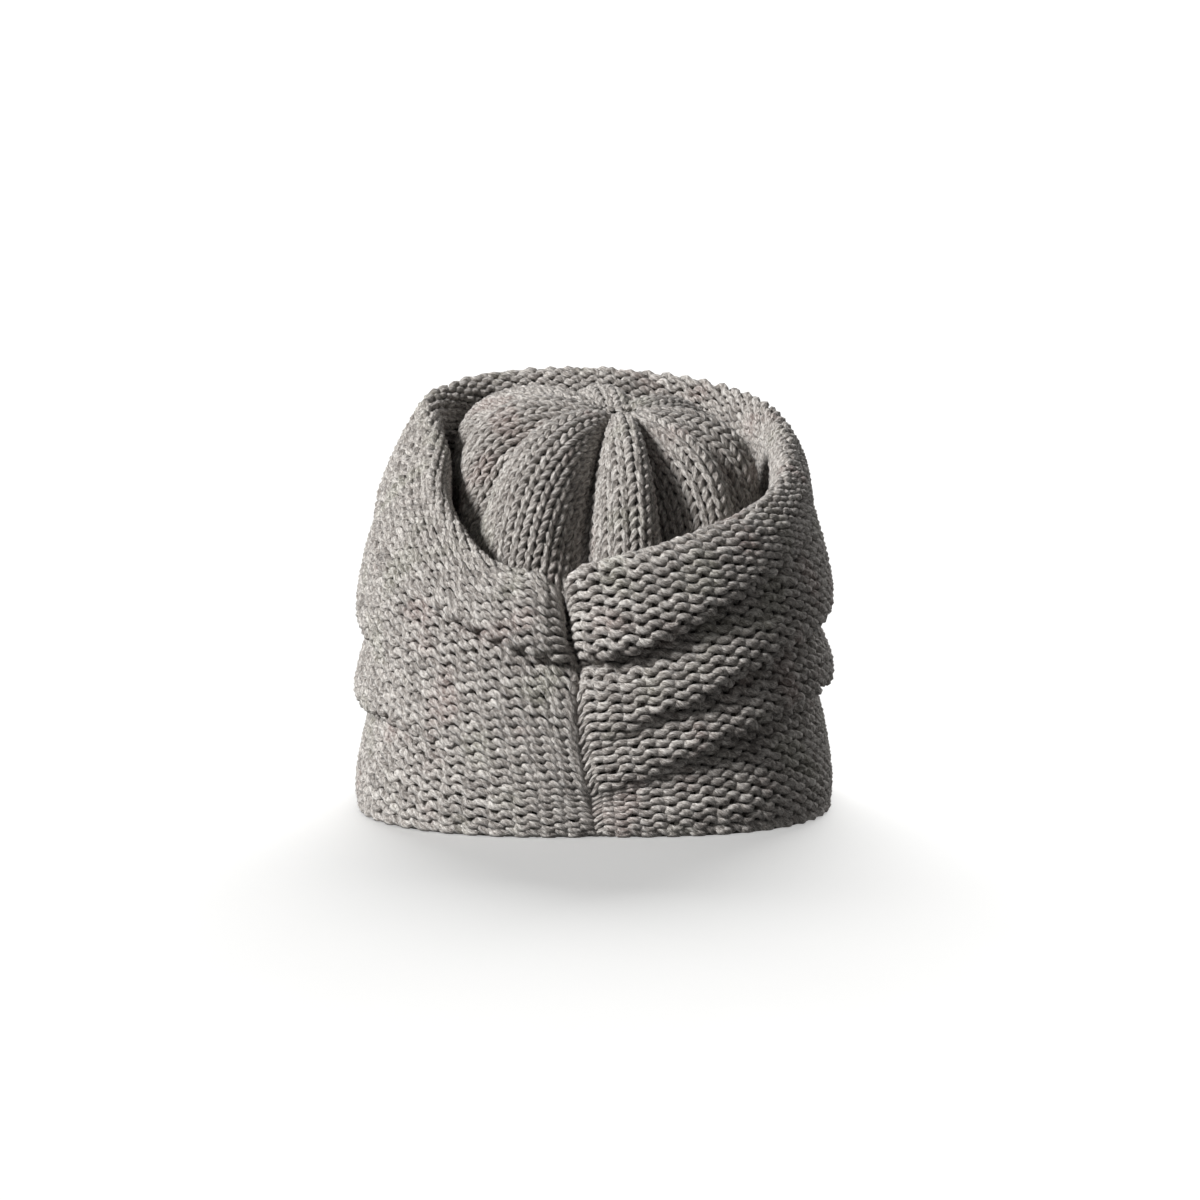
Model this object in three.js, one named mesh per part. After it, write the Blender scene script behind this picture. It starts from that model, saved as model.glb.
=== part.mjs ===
// Scrunch beanie in chunky knit, standing on its hem. Millimetres, +Z up, back seam towards -Y.
import * as THREE from 'three';

// Driving dimensions of the whole hat
const HALF_WIDTH = 93;
const HALF_DEPTH = 97;
const PLAN_SQUARENESS = 2.3;
const HEM_FLARE = 5;
const HEM_INSET = 1;
const WALL = 5;

// Rolled rim and the well inside it
const RIM_ROLL = 6.5;
const RIM_ROUND = 5.5;
const RIM_EASE = 0.6;
const WELL_DROP = 34;
const WELL_LEAN = 1;
const WELL_MIDDLE = 0.5;
const WELL_LOW = 0.88;
const TUCK_CLEARANCE = 3;
const CROWN_GAP = 1;

// Crease of the back seam, with the left side of the collar lapped over the right
const SEAM_DIP_WIDTH = 5;
const SEAM_DRIFT_WIDTH = 50;
const RIM_NOTCH = 9;
const RIM_NOTCH_LEFT = 5;
const RIM_NOTCH_RIGHT = 2.5;
const COLLAR_LAP = 3;
const COLLAR_LAP_WIDTH = 14;
const COLLAR_LAP_RIGHT = -0.4;
const COLLAR_CORNER = 8;
const COLLAR_CORNER_LEFT = 1.5;
const COLLAR_CORNER_RIGHT = 3;

// Raised seam cord
const SEAM_RADIUS = 1.6;
const SEAM_STANDOFF = 2.2;
const SEAM_START = 0.45;
const SEAM_SIDES = 8;

// Pinched middle of the crown
const PINCH_X = 10;
const PINCH_Y = 0;
const PINCH_HEIGHT = 155;
const PINCH_WIDTH = 0.2;
const PINCH_DIMPLE = 3;
const DIMPLE_WIDTH = 0.1;
const PLEAT_SINK = 8;
const PLEAT_SHARPNESS = 0.68;
const PLEAT_REACH = 0.67;
const PLEAT_ONSET = 0.8;
const PLEAT_BASE = 0.78;
const PLEAT_FADE = 1.5;
const DOME_FULLNESS = 0.85;

// Facets
const AROUND = 72;
const SPAN_OUTER = 2;
const SPAN_INNER = 1;
const LOBE_STEPS = 8;
const CROWN_ROWS_OUTER = 13;
const CROWN_ROWS_INNER = 9;

// Colours of the heather yarn
const BODY_COLOUR = 0x9d9892;
const CROWN_COLOUR = 0xa5a09a;
const SEAM_COLOUR = 0xaca7a1;
const KNIT_ROUGHNESS = 0.95;

// Azimuths of the table columns: 0 at the back seam, 90 at the wearer's right, 180 at the front
const STATIONS = [
  { name: 'back', azimuth: 0 },
  { name: 'right_of_seam', azimuth: 15 },
  { name: 'back_right', azimuth: 40 },
  { name: 'right', azimuth: 90 },
  { name: 'front_right', azimuth: 135 },
  { name: 'front', azimuth: 180 },
  { name: 'front_left', azimuth: 230 },
  { name: 'left', azimuth: 270 },
  { name: 'back_left', azimuth: 305 },
  { name: 'left_of_seam', azimuth: 345 },
];

// Heights of the three tucks and the rim, and how far each lies inside the plan outline, by station
const FOLDS = {
  tuck_1_height: [15, 24, 41, 49, 44, 42, 40, 37, 38, 22],
  tuck_1_depth: [0.8, 2.5, 9, 7, 4, 4, 4, 4.5, 4, 0.5],
  tuck_2_height: [31, 43, 62, 74, 76, 76, 75, 69, 61, 42],
  tuck_2_depth: [1, 4, 15, 13, 8, 5, 5, 6, 3.5, 0.5],
  tuck_3_height: [65, 70, 91, 119, 122, 122, 120, 112, 94, 74],
  tuck_3_depth: [11, 13, 15, 10, 8, 8, 9, 8, 3.5, 10],
  collar_depth: [0, 0, 2, 7, 6, 5, 3, 1, 0, 0],
  rim_height: [100, 106, 117, 138, 156, 164, 158, 142, 124, 100],
  rim_depth: [13, 14, 16, 18, 18, 26, 20, 31, 28, 18],
};

// Rings from the hem to the well: crease depth and azimuth drift at the seam, then how far the back
// face of the knit lies inward, how far up, and how far up more where the fold above is deep
const RINGS = [
  { name: 'hem', dip: 2, drift: 1.2, inward: 5, up: 0, lift: 0 },
  { name: 'band_low', dip: 2.5, drift: 0.9, inward: 5, up: 0, lift: 0 },
  { name: 'band_high', dip: 2.5, drift: 0.3, inward: 5, up: 0, lift: 0 },
  { name: 'tuck_1', dip: 2.5, drift: 0.2, inward: 5, up: 0, lift: 0 },
  { name: 'fold_1_low', dip: 2.5, drift: -0.6, inward: 4.5, up: 0, lift: 2.5 },
  { name: 'fold_1_high', dip: 2.5, drift: -1.6, inward: 5, up: 0, lift: 0 },
  { name: 'tuck_2', dip: 2.5, drift: -2.4, inward: 5, up: 0, lift: 0 },
  { name: 'fold_2_low', dip: 2.5, drift: -3, inward: 4.5, up: 0, lift: 3 },
  { name: 'fold_2_high', dip: 2.5, drift: -3.6, inward: 5, up: 0, lift: 0 },
  { name: 'tuck_3', dip: 3, drift: -4.4, inward: 5, up: 0, lift: 0 },
  { name: 'collar_low', dip: 12, drift: -5.8, inward: 4.5, up: 0, lift: 3.5 },
  { name: 'collar_high', dip: 13, drift: -7, inward: 5, up: 0, lift: 0 },
  { name: 'roll', dip: 10, drift: -8, inward: 4.5, up: -1.5, lift: 0 },
  { name: 'rim', dip: 7, drift: -8.5, inward: 0, up: -5, lift: 0 },
  { name: 'lip', dip: 7, drift: -7, inward: -4.5, up: -1.5, lift: 0 },
  { name: 'well_high', dip: 4, drift: -3, inward: -5, up: 0, lift: 0 },
  { name: 'well_low', dip: 2, drift: 0, inward: -4.5, up: -2.5, lift: 0 },
  { name: 'well_floor', dip: 0, drift: 0, inward: 0, up: -5, lift: 0 },
];

// The band below the first tuck: bulge past the outline, and shares of the flare and of the tuck
const BANDS = {
  low: { bulge: 0.3, flare: 0.8, depth: 0.1, height: 0.28 },
  high: { bulge: -0.6, flare: 0.4, depth: 0.4, height: 0.68 },
};

// The puffed fabric above each tuck: place of its belly and shoulder between the tucks, and how it sags
const PUFFS = [
  { name: 'fold_1', belly: 0.25, shoulder: 0.63, sag: 6, inset: 0 },
  { name: 'fold_2', belly: 0.25, shoulder: 0.63, sag: 8.5, inset: 1 },
  { name: 'collar', belly: 0.22, shoulder: 0.58, sag: 8, inset: 0 },
];
const DEEP_FOLD = 8;
const SHOULDER_TUCK = 0.28;
const COLLAR_BELLY_OUT = 0.72;
const COLLAR_SHOULDER_OUT = 0.35;

// Lobes of the crown: pleat azimuths on either side, half width of the open valley at the first pleat,
// top height, distance from the lip at the base, pleat depth, and how flat the shoulder falls
const LOBES = [
  { name: 'back', first: -6, last: 39, open: 4, top: 154, gap: 10, depth: 27, shoulder: 0.7 },
  { name: 'back_right', first: 39, last: 82, open: 4, top: 152, gap: 9, depth: 25, shoulder: 0.65 },
  { name: 'right', first: 82, last: 114, open: 2, top: 156, gap: 2, depth: 15, shoulder: 0.55 },
  { name: 'front_right', first: 114, last: 158, open: 1, top: 159, gap: 6, depth: 12, shoulder: 0.5 },
  { name: 'front', first: 158, last: 205, open: 1, top: 163, gap: 6, depth: 10, shoulder: 0.45 },
  { name: 'front_left', first: 205, last: 250, open: 1, top: 163, gap: 3, depth: 8, shoulder: 0.38 },
  { name: 'left', first: 250, last: 295, open: 1, top: 162, gap: 1.5, depth: 11, shoulder: 0.42 },
  { name: 'back_left', first: 295, last: 354, open: 1.5, top: 157, gap: 5, depth: 20, shoulder: 0.65 },
];

const radians = THREE.MathUtils.degToRad;
const lerp = THREE.MathUtils.lerp;

// Cubic through p and q with end slopes over one span
function hermite(p, slopeP, q, slopeQ, t) {
  const s = 1 - t;
  return p * (1 + 2 * t) * s * s + slopeP * t * s * s + q * t * t * (3 - 2 * t) + slopeQ * t * t * (t - 1);
}

// Value of a table row at any azimuth, smooth but for the kink at the seam
function round(row, azimuth) {
  const count = STATIONS.length;
  const at = THREE.MathUtils.euclideanModulo(azimuth, 360);
  const width = (i) => ((STATIONS[(i + 1) % count].azimuth - STATIONS[i].azimuth) + 360) % 360;
  const rise = (i) => (row[(i + 1) % count] - row[i]) / width(i);
  const slope = (i, side) => {
    if (i === 0) return rise(side);
    const before = i - 1;
    return (rise(i) * width(before) + rise(before) * width(i)) / (width(i) + width(before));
  };
  let i = count - 1;
  while (STATIONS[i].azimuth > at) i -= 1;
  const next = (i + 1) % count;
  const span = width(i);
  const t = (at - STATIONS[i].azimuth) / span;
  return hermite(row[i], slope(i, i) * span, row[next], slope(next, i) * span, t);
}

// Plan outline of the hat
function outline(azimuth) {
  const a = radians(azimuth);
  const across = Math.abs(Math.sin(a) / HALF_WIDTH) ** PLAN_SQUARENESS;
  const along = Math.abs(Math.cos(a) / HALF_DEPTH) ** PLAN_SQUARENESS;
  return (across + along) ** (-1 / PLAN_SQUARENESS);
}

function fromSeam(azimuth) {
  return THREE.MathUtils.euclideanModulo(azimuth + 180, 360) - 180;
}

// Bell of height 1 at the seam, with a width in degrees on either side of it
function besideSeam(azimuth, left, right) {
  const away = fromSeam(azimuth);
  return Math.exp(-((away / (away < 0 ? left : right)) ** 2));
}

function rimHeight(azimuth) {
  const notch = RIM_NOTCH * besideSeam(azimuth, RIM_NOTCH_LEFT, RIM_NOTCH_RIGHT);
  return round(FOLDS.rim_height, azimuth) - notch;
}

// Face of the lip low in the well, clear of the tuck behind it
function wellReach(azimuth) {
  const hull = outline(azimuth);
  const byRim = hull - round(FOLDS.rim_depth, azimuth) - RIM_ROLL - WELL_LEAN;
  const byTuck = hull - round(FOLDS.tuck_3_depth, azimuth) - 2 * WALL - TUCK_CLEARANCE;
  return Math.min(byRim, byTuck);
}

// Place across the lobe, from -1 to 1, and the lobe's sizes blended with its neighbour's at the pleats
function lobeAt(azimuth) {
  const count = LOBES.length;
  const at = THREE.MathUtils.euclideanModulo(azimuth - LOBES[0].first, 360) + LOBES[0].first;
  let i = count - 1;
  while (LOBES[i].first > at) i -= 1;
  const lobe = LOBES[i];
  const start = lobe.first + lobe.open;
  const end = lobe.last - LOBES[(i + 1) % count].open;
  const across = THREE.MathUtils.clamp(2 * (at - start) / (end - start) - 1, -1, 1);
  const other = LOBES[(i + (across < 0 ? count - 1 : 1)) % count];
  const share = 0.5 * across * across;
  const [top, gap, depth, shoulder] = ['top', 'gap', 'depth', 'shoulder'].map((key) => {
    return lerp(lobe[key], other[key], share);
  });
  return { across, top, gap, depth, shoulder };
}

// Control points of the knit's seen face and back face in one upright section
function section(azimuth) {
  const hull = outline(azimuth);
  const flare = HEM_FLARE * Math.sin(2 * radians(azimuth)) ** 2;
  const away = fromSeam(azimuth);
  const heights = ['tuck_1', 'tuck_2', 'tuck_3'].map((name) => round(FOLDS[name + '_height'], azimuth));
  const depths = ['tuck_1', 'tuck_2', 'tuck_3'].map((name) => round(FOLDS[name + '_depth'], azimuth));
  const folded = depths.map((depth) => THREE.MathUtils.clamp(depth / DEEP_FOLD, 0, 1));
  const rimTop = rimHeight(azimuth);
  const rimReach = hull - round(FOLDS.rim_depth, azimuth);
  const rollReach = rimReach + RIM_ROLL;
  const collarHull = hull - round(FOLDS.collar_depth, azimuth);
  const lapSide = away < 0 ? 1 : COLLAR_LAP_RIGHT;
  const lap = COLLAR_LAP * lapSide * Math.exp(-Math.abs(away) / COLLAR_LAP_WIDTH);
  const corner = COLLAR_CORNER * besideSeam(azimuth, COLLAR_CORNER_LEFT, COLLAR_CORNER_RIGHT);
  const well = wellReach(azimuth);
  const [fold1, fold2, collar] = PUFFS;
  const puff = (k, share) => lerp(heights[k], k < 2 ? heights[k + 1] : rimTop, share);
  const band = ({ bulge, flare: widened, depth, height }) => [
    hull + bulge + widened * flare - depth * depths[0],
    heights[0] * height,
  ];
  const collarLow = puff(2, collar.belly) - collar.sag * folded[2] + corner;
  const face = {
    hem: [hull - HEM_INSET + flare, 0],
    band_low: band(BANDS.low),
    band_high: band(BANDS.high),
    tuck_1: [hull - depths[0], heights[0]],
    fold_1_low: [hull - fold1.inset, puff(0, fold1.belly) - fold1.sag * folded[0]],
    fold_1_high: [hull - fold1.inset - SHOULDER_TUCK * depths[1], puff(0, fold1.shoulder)],
    tuck_2: [hull - depths[1], heights[1]],
    fold_2_low: [hull - fold2.inset, puff(1, fold2.belly) - fold2.sag * folded[1]],
    fold_2_high: [hull - fold2.inset - SHOULDER_TUCK * depths[2], puff(1, fold2.shoulder)],
    tuck_3: [hull - depths[2], heights[2]],
    collar_low: [lerp(rollReach, collarHull, COLLAR_BELLY_OUT) + lap, collarLow],
    collar_high: [lerp(rollReach, collarHull, COLLAR_SHOULDER_OUT) + lap, puff(2, collar.shoulder)],
    roll: [rollReach - RIM_EASE, rimTop - RIM_ROUND],
    rim: [rimReach, rimTop],
    lip: [rimReach - RIM_ROLL + RIM_EASE, rimTop - RIM_ROUND],
    well_high: [lerp(rimReach - RIM_ROLL, well, WELL_MIDDLE), rimTop - WELL_MIDDLE * WELL_DROP],
    well_low: [well, rimTop - WELL_LOW * WELL_DROP],
    well_floor: [well - lobeAt(azimuth).gap + CROWN_GAP, rimTop - WELL_DROP],
  };
  const lifted = { fold_1_low: folded[0], fold_2_low: folded[1], collar_low: folded[2] };
  const crease = Math.exp(-Math.abs(away) / SEAM_DIP_WIDTH);
  const drift = Math.exp(-((away / SEAM_DRIFT_WIDTH) ** 2));
  const outer = [];
  const inner = [];
  for (const ring of RINGS) {
    const [reach, height] = face[ring.name];
    const dipped = reach - ring.dip * crease;
    const turned = azimuth + ring.drift * drift;
    const rise = ring.up + ring.lift * (lifted[ring.name] ?? 0);
    outer.push(new THREE.Vector3(dipped, height, turned));
    inner.push(new THREE.Vector3(dipped - ring.inward, height + rise, turned));
  }
  return { outer, inner };
}

// Centripetal curve through control points of reach, height and azimuth
function threaded(points, spans) {
  const last = points.length - 1;
  const before = points[0].clone().multiplyScalar(2).sub(points[1]);
  const after = points[last].clone().multiplyScalar(2).sub(points[last - 1]);
  const all = [before, ...points, after];
  const pace = (i) => {
    const step = Math.hypot(all[i + 1].x - all[i].x, all[i + 1].y - all[i].y);
    return Math.max(Math.sqrt(step), 1e-3);
  };
  const line = [];
  for (let i = 0; i < last; i += 1) {
    const [d0, d1, d2] = [pace(i), pace(i + 1), pace(i + 2)];
    const [p0, p1, p2, p3] = all.slice(i, i + 4);
    for (let step = 0; step < spans; step += 1) {
      const at = ['x', 'y', 'z'].map((c) => {
        const m1 = (p1[c] - p0[c]) / d0 - (p2[c] - p0[c]) / (d0 + d1) + (p2[c] - p1[c]) / d1;
        const m2 = (p2[c] - p1[c]) / d1 - (p3[c] - p1[c]) / (d1 + d2) + (p3[c] - p2[c]) / d2;
        return hermite(p1[c], m1 * d1, p2[c], m2 * d1, step / spans);
      });
      line.push(new THREE.Vector3(...at));
    }
  }
  line.push(points[last].clone());
  return line;
}

function placed(point) {
  const a = radians(point.z);
  return new THREE.Vector3(point.x * Math.sin(a), -point.x * Math.cos(a), point.y);
}

// One point of the crown: along runs from the pinched middle (0) to the well (1)
function crownPoint(azimuth, along, inset) {
  const lobe = lobeAt(azimuth);
  const puff = Math.max(Math.cos(Math.PI * lobe.across / 2), 0) ** PLEAT_SHARPNESS;
  const sunk = 1 - puff;
  const arc = along * Math.PI / 2;
  const spread = Math.sin(arc) ** DOME_FULLNESS;
  const grows = Math.sin(Math.PI / 2 * Math.min(along / PLEAT_REACH, 1) ** PLEAT_ONSET);
  const fades = 1 - Math.max(0, (along - PLEAT_BASE) / (1 - PLEAT_BASE)) ** PLEAT_FADE;
  const reach = (wellReach(azimuth) - lobe.gap - inset) * spread - lobe.depth * sunk * grows * fades;
  const base = rimHeight(azimuth) - WELL_DROP - WALL / 2;
  const drop = along < 1 ? Math.cos(arc) ** lobe.shoulder : 0;
  const pinch = (lobe.top - PINCH_HEIGHT) * Math.exp(-((along / PINCH_WIDTH) ** 2));
  const dimple = PINCH_DIMPLE * Math.exp(-((along / DIMPLE_WIDTH) ** 2));
  const sink = PLEAT_SINK * sunk * Math.sin(Math.PI * along);
  const height = base + (lobe.top - inset - base) * drop - sink - pinch - dimple;
  const a = radians(azimuth);
  const x = PINCH_X * (1 - spread) + reach * Math.sin(a);
  const y = PINCH_Y * (1 - spread) - reach * Math.cos(a);
  return new THREE.Vector3(x, y, height);
}

// Closed skin from columns of points, each column a closed loop in an upright section
function ringSkin(columns) {
  const count = columns.length;
  const size = columns[0].length;
  const positions = columns.flat().flatMap((p) => [p.x, p.y, p.z]);
  const faces = [];
  for (let i = 0; i < count; i += 1) {
    const next = (i + 1) % count;
    for (let j = 0; j < size; j += 1) {
      const up = (j + 1) % size;
      const [a, b, c, d] = [i * size + j, next * size + j, next * size + up, i * size + up];
      faces.push(a, b, c, a, c, d);
    }
  }
  return { positions, faces };
}

// Dome skin from two sets of rows, closed by the ring at the well and a point at each middle
function domeSkin(outerRows, innerRows, outerMiddle, innerMiddle) {
  const size = outerRows[0].length;
  const rows = [...outerRows, ...innerRows.slice().reverse()];
  const points = [...rows.flat(), outerMiddle, innerMiddle];
  const positions = points.flatMap((p) => [p.x, p.y, p.z]);
  const top = rows.length * size;
  const faces = [];
  for (let i = 0; i < size; i += 1) {
    const next = (i + 1) % size;
    faces.push(top, i, next);
    for (let j = 0; j < rows.length - 1; j += 1) {
      const [a, b] = [j * size + i, j * size + next];
      const [c, d] = [(j + 1) * size + next, (j + 1) * size + i];
      faces.push(a, d, c, a, c, b);
    }
    const lastRow = (rows.length - 1) * size;
    faces.push(top + 1, lastRow + next, lastRow + i);
  }
  return { positions, faces };
}

// Closed tube of even radius along a path of points with outward directions
function cordSkin(path, outward, radius, sides) {
  const points = [];
  path.forEach((p, i) => {
    const before = path[Math.max(i - 1, 0)];
    const after = path[Math.min(i + 1, path.length - 1)];
    const along = after.clone().sub(before).normalize();
    const side = along.clone().cross(outward[i]).normalize();
    const out = side.clone().cross(along).normalize();
    for (let k = 0; k < sides; k += 1) {
      const a = 2 * Math.PI * k / sides;
      const shift = out.clone().multiplyScalar(radius * Math.cos(a));
      points.push(p.clone().add(shift).addScaledVector(side, radius * Math.sin(a)));
    }
  });
  const faces = [];
  for (let i = 0; i < path.length - 1; i += 1) {
    for (let k = 0; k < sides; k += 1) {
      const next = (k + 1) % sides;
      const [a, b] = [i * sides + k, i * sides + next];
      const [c, d] = [(i + 1) * sides + next, (i + 1) * sides + k];
      faces.push(a, b, c, a, c, d);
    }
  }
  const end = (path.length - 1) * sides;
  for (let k = 1; k < sides - 1; k += 1) {
    faces.push(0, k + 1, k, end, end + k, end + k + 1);
  }
  return { positions: points.flatMap((p) => [p.x, p.y, p.z]), faces };
}

function knitMesh(name, skin, colour) {
  const geometry = new THREE.BufferGeometry();
  geometry.setAttribute('position', new THREE.Float32BufferAttribute(skin.positions, 3));
  geometry.setIndex(skin.faces);
  geometry.computeVertexNormals();
  const options = { color: colour, roughness: KNIT_ROUGHNESS, metalness: 0 };
  const mesh = new THREE.Mesh(geometry, new THREE.MeshStandardMaterial(options));
  mesh.name = name;
  return mesh;
}

// Knitted tube: seen face up from the hem to the well, then the back face down again
function buildBody() {
  const columns = [];
  for (let i = 0; i < AROUND; i += 1) {
    const { outer, inner } = section(i * 360 / AROUND);
    const seen = threaded(outer, SPAN_OUTER).map(placed);
    const behind = threaded(inner, SPAN_INNER).map(placed).reverse();
    columns.push([...seen, ...behind]);
  }
  return knitMesh('body', ringSkin(columns), BODY_COLOUR);
}

// Gathered dome in the well
function buildCrown() {
  const azimuths = LOBES.flatMap((lobe, i) => {
    const start = lobe.first + lobe.open;
    const end = lobe.last - LOBES[(i + 1) % LOBES.length].open;
    const across = Array.from({ length: LOBE_STEPS + 1 }, (_, k) => lerp(start, end, k / LOBE_STEPS));
    return [lobe.first, ...across];
  });
  const rowsOf = (rows, inset) => Array.from({ length: rows }, (_, j) => {
    const along = (j + 1) / rows;
    return azimuths.map((azimuth) => crownPoint(azimuth, along, inset));
  });
  const middle = (inset) => new THREE.Vector3(PINCH_X, PINCH_Y, PINCH_HEIGHT - PINCH_DIMPLE - inset);
  const outer = rowsOf(CROWN_ROWS_OUTER, 0);
  const inner = rowsOf(CROWN_ROWS_INNER, WALL);
  return knitMesh('crown', domeSkin(outer, inner, middle(0), middle(WALL)), CROWN_COLOUR);
}

// Cord of edge stitches lying in the crease of the back, from the hem to the fold under the collar
function buildBackSeam() {
  const line = threaded(section(0).outer, SPAN_OUTER);
  const end = RINGS.findIndex((ring) => ring.name === 'fold_2_high') * SPAN_OUTER;
  const first = line[0].clone().lerp(line[SPAN_OUTER], SEAM_START);
  const route = [first, ...line.slice(SPAN_OUTER, end + 1)];
  const outward = [];
  const path = route.map((point, i) => {
    const before = route[Math.max(i - 1, 0)];
    const after = route[Math.min(i + 1, route.length - 1)];
    const tilt = new THREE.Vector2(after.y - before.y, before.x - after.x).normalize();
    const a = radians(point.z);
    outward.push(new THREE.Vector3(tilt.x * Math.sin(a), -tilt.x * Math.cos(a), tilt.y));
    return placed(point).addScaledVector(outward[i], SEAM_STANDOFF);
  });
  return knitMesh('back_seam', cordSkin(path, outward, SEAM_RADIUS, SEAM_SIDES), SEAM_COLOUR);
}

const beanie = new THREE.Group();
beanie.name = 'scrunch_beanie';
beanie.add(buildBody());
beanie.add(buildCrown());
beanie.add(buildBackSeam());

export default beanie;
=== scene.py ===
"""Looks of the scrunch beanie: every loop of its chunky heather yarn, laid over the frame."""
from __future__ import annotations

import logging
import math
from dataclasses import dataclass, field
from enum import Enum
from typing import Any, Sequence

import bpy
import numpy as np
from bpy.types import Material, Node, NodeSocket, NodeTree, Object
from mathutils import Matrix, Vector

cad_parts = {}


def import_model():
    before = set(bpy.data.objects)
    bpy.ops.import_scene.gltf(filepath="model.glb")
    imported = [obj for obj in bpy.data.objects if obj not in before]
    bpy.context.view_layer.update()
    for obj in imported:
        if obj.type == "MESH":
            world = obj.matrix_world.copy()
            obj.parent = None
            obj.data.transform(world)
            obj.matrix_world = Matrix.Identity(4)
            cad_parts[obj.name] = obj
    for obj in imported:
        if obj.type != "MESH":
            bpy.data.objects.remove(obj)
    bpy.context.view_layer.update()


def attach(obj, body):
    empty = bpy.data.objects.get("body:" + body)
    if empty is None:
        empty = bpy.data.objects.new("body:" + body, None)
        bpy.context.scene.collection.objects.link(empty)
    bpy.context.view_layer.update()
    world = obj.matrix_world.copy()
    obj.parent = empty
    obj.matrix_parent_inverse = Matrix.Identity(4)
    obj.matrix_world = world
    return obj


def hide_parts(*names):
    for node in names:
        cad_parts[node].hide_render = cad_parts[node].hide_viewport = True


Array = np.ndarray
MM = 0.001
BODY = "root"
YARN_MAP = "yarn"
BAKE_MAP = "OFBake"
WELD_MM = 0.02
SMALLEST_LENGTH = 1e-9
SMALLEST_PACE = 1e-3
LOG = logging.getLogger("beanie")


class Face(Enum):
    """Which face of the knit looks outward: bumps of purl or legs of knit."""

    PURL = 1.0
    KNIT = -1.0


def linear(colour: str) -> tuple[float, float, float, float]:
    """Turn an sRGB hex colour to linear RGBA.

    Args:
        colour: Six hex digits after a hash.

    Returns:
        Linear red, green and blue, and full alpha.
    """
    parts = [int(colour[i : i + 2], 16) / 255 for i in (1, 3, 5)]
    red, green, blue = (c / 12.92 if c <= 0.04045 else ((c + 0.055) / 1.055) ** 2.4 for c in parts)
    return red, green, blue, 1.0


def feed(tree: NodeTree, node: Node, inputs: dict[Any, Any]) -> None:
    """Set or link inputs of a node.

    Args:
        tree: The node tree.
        node: One of its nodes.
        inputs: Input names or numbers, each with a value or with the socket that feeds it.
    """
    for key, value in inputs.items():
        if isinstance(value, NodeSocket):
            tree.links.new(value, node.inputs[key])
        else:
            node.inputs[key].default_value = value


def add_node(tree: NodeTree, kind: str, inputs: dict[Any, Any], **settings: Any) -> Node:
    """Add one node with its settings and inputs.

    Args:
        tree: The node tree.
        kind: The node's type.
        inputs: What feeds its inputs.
        **settings: Properties of the node.

    Returns:
        The new node.
    """
    node = tree.nodes.new(kind)
    for key, value in settings.items():
        setattr(node, key, value)
    feed(tree, node, inputs)
    return node


def toned(tree: NodeTree, noise: Any, tones: Sequence[float], colours: Sequence[str]) -> NodeSocket:
    """Colour a noise by a ramp.

    Args:
        tree: The node tree.
        noise: The socket of the noise.
        tones: Levels at which the colours stand, in rising order.
        colours: The sRGB hex colour at each level.

    Returns:
        The socket of the colour.
    """
    ramp = add_node(tree, "ShaderNodeValToRGB", {0: noise})
    stops = ramp.color_ramp.elements
    for stop, end in zip(stops, (0, -1)):
        stop.position = tones[end]
        stop.color = linear(colours[end])
    for tone, colour in zip(tones[1:-1], colours[1:-1]):
        stops.new(tone).color = linear(colour)
    return ramp.outputs[0]


def blank_material(name: str) -> tuple[Material, NodeTree, Node]:
    """Make a material that is still plain.

    Args:
        name: Name of the real material.

    Returns:
        The material, its node tree and its shader.
    """
    material = bpy.data.materials.new(name)
    material.use_nodes = True
    tree = material.node_tree
    return material, tree, tree.nodes["Principled BSDF"]


def scaled(tree: NodeTree, value: Any, factor: float, plus: Any = 0.0) -> NodeSocket:
    """Socket of a value times a factor, plus another value."""
    inputs = {0: value, 1: factor, 2: plus}
    return add_node(tree, "ShaderNodeMath", inputs, operation="MULTIPLY_ADD").outputs[0]


def grain(tree: NodeTree, size_mm: float, detail: float) -> NodeSocket:
    """Noise in the space of the whole object.

    Args:
        tree: The node tree.
        size_mm: Size of its patches.
        detail: Levels of finer noise on it.

    Returns:
        The socket of the noise.
    """
    space = add_node(tree, "ShaderNodeTexCoord", {}).outputs["Object"]
    inputs = {"Vector": space, "Scale": 1 / (size_mm * MM), "Detail": detail}
    return add_node(tree, "ShaderNodeTexNoise", inputs).outputs[0]


def resampled(at: Array, places: Array, points: Array) -> Array:
    """Points of a line at new places along it."""
    return np.stack([np.interp(at, places, column) for column in points.T], -1)


def lengths(points: Array) -> Array:
    """Length of line up to each point, along the first axis."""
    steps = np.linalg.norm(np.diff(points, axis=0), axis=-1)
    return np.insert(np.cumsum(steps, axis=0), 0, 0.0, axis=0)


def fade(distance: Array, width: float | Array) -> Array:
    """Bell curve of a distance."""
    return np.exp(-((distance / width) ** 2))


def unit(vectors: Array) -> Array:
    """Vectors of length one along the last axis."""
    return vectors / np.maximum(np.linalg.norm(vectors, axis=-1, keepdims=True), SMALLEST_LENGTH)


def hermite(p: Any, slope_p: Any, q: Any, slope_q: Any, t: Any) -> Any:
    """Cubic over one span.

    Args:
        p: Its start.
        slope_p: Slope at the start.
        q: Its end.
        slope_q: Slope at the end.
        t: Place along the span, from 0 to 1.

    Returns:
        The cubic at that place.
    """
    s = 1 - t
    return (
        p * (1 + 2 * t) * s * s
        + slope_p * t * s * s
        + q * t * t * (3 - 2 * t)
        + slope_q * t * t * (t - 1)
    )


@dataclass(frozen=True)
class Ring:
    """One ring of the knitted tube.

    dip and drift give the crease of the back seam (mm, degrees). inward, up and lift place the
    back face of the knit (mm), lift only where the fold below it is deep.
    """

    name: str
    dip: float
    drift: float
    inward: float
    up: float = 0.0
    lift: float = 0.0


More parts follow.
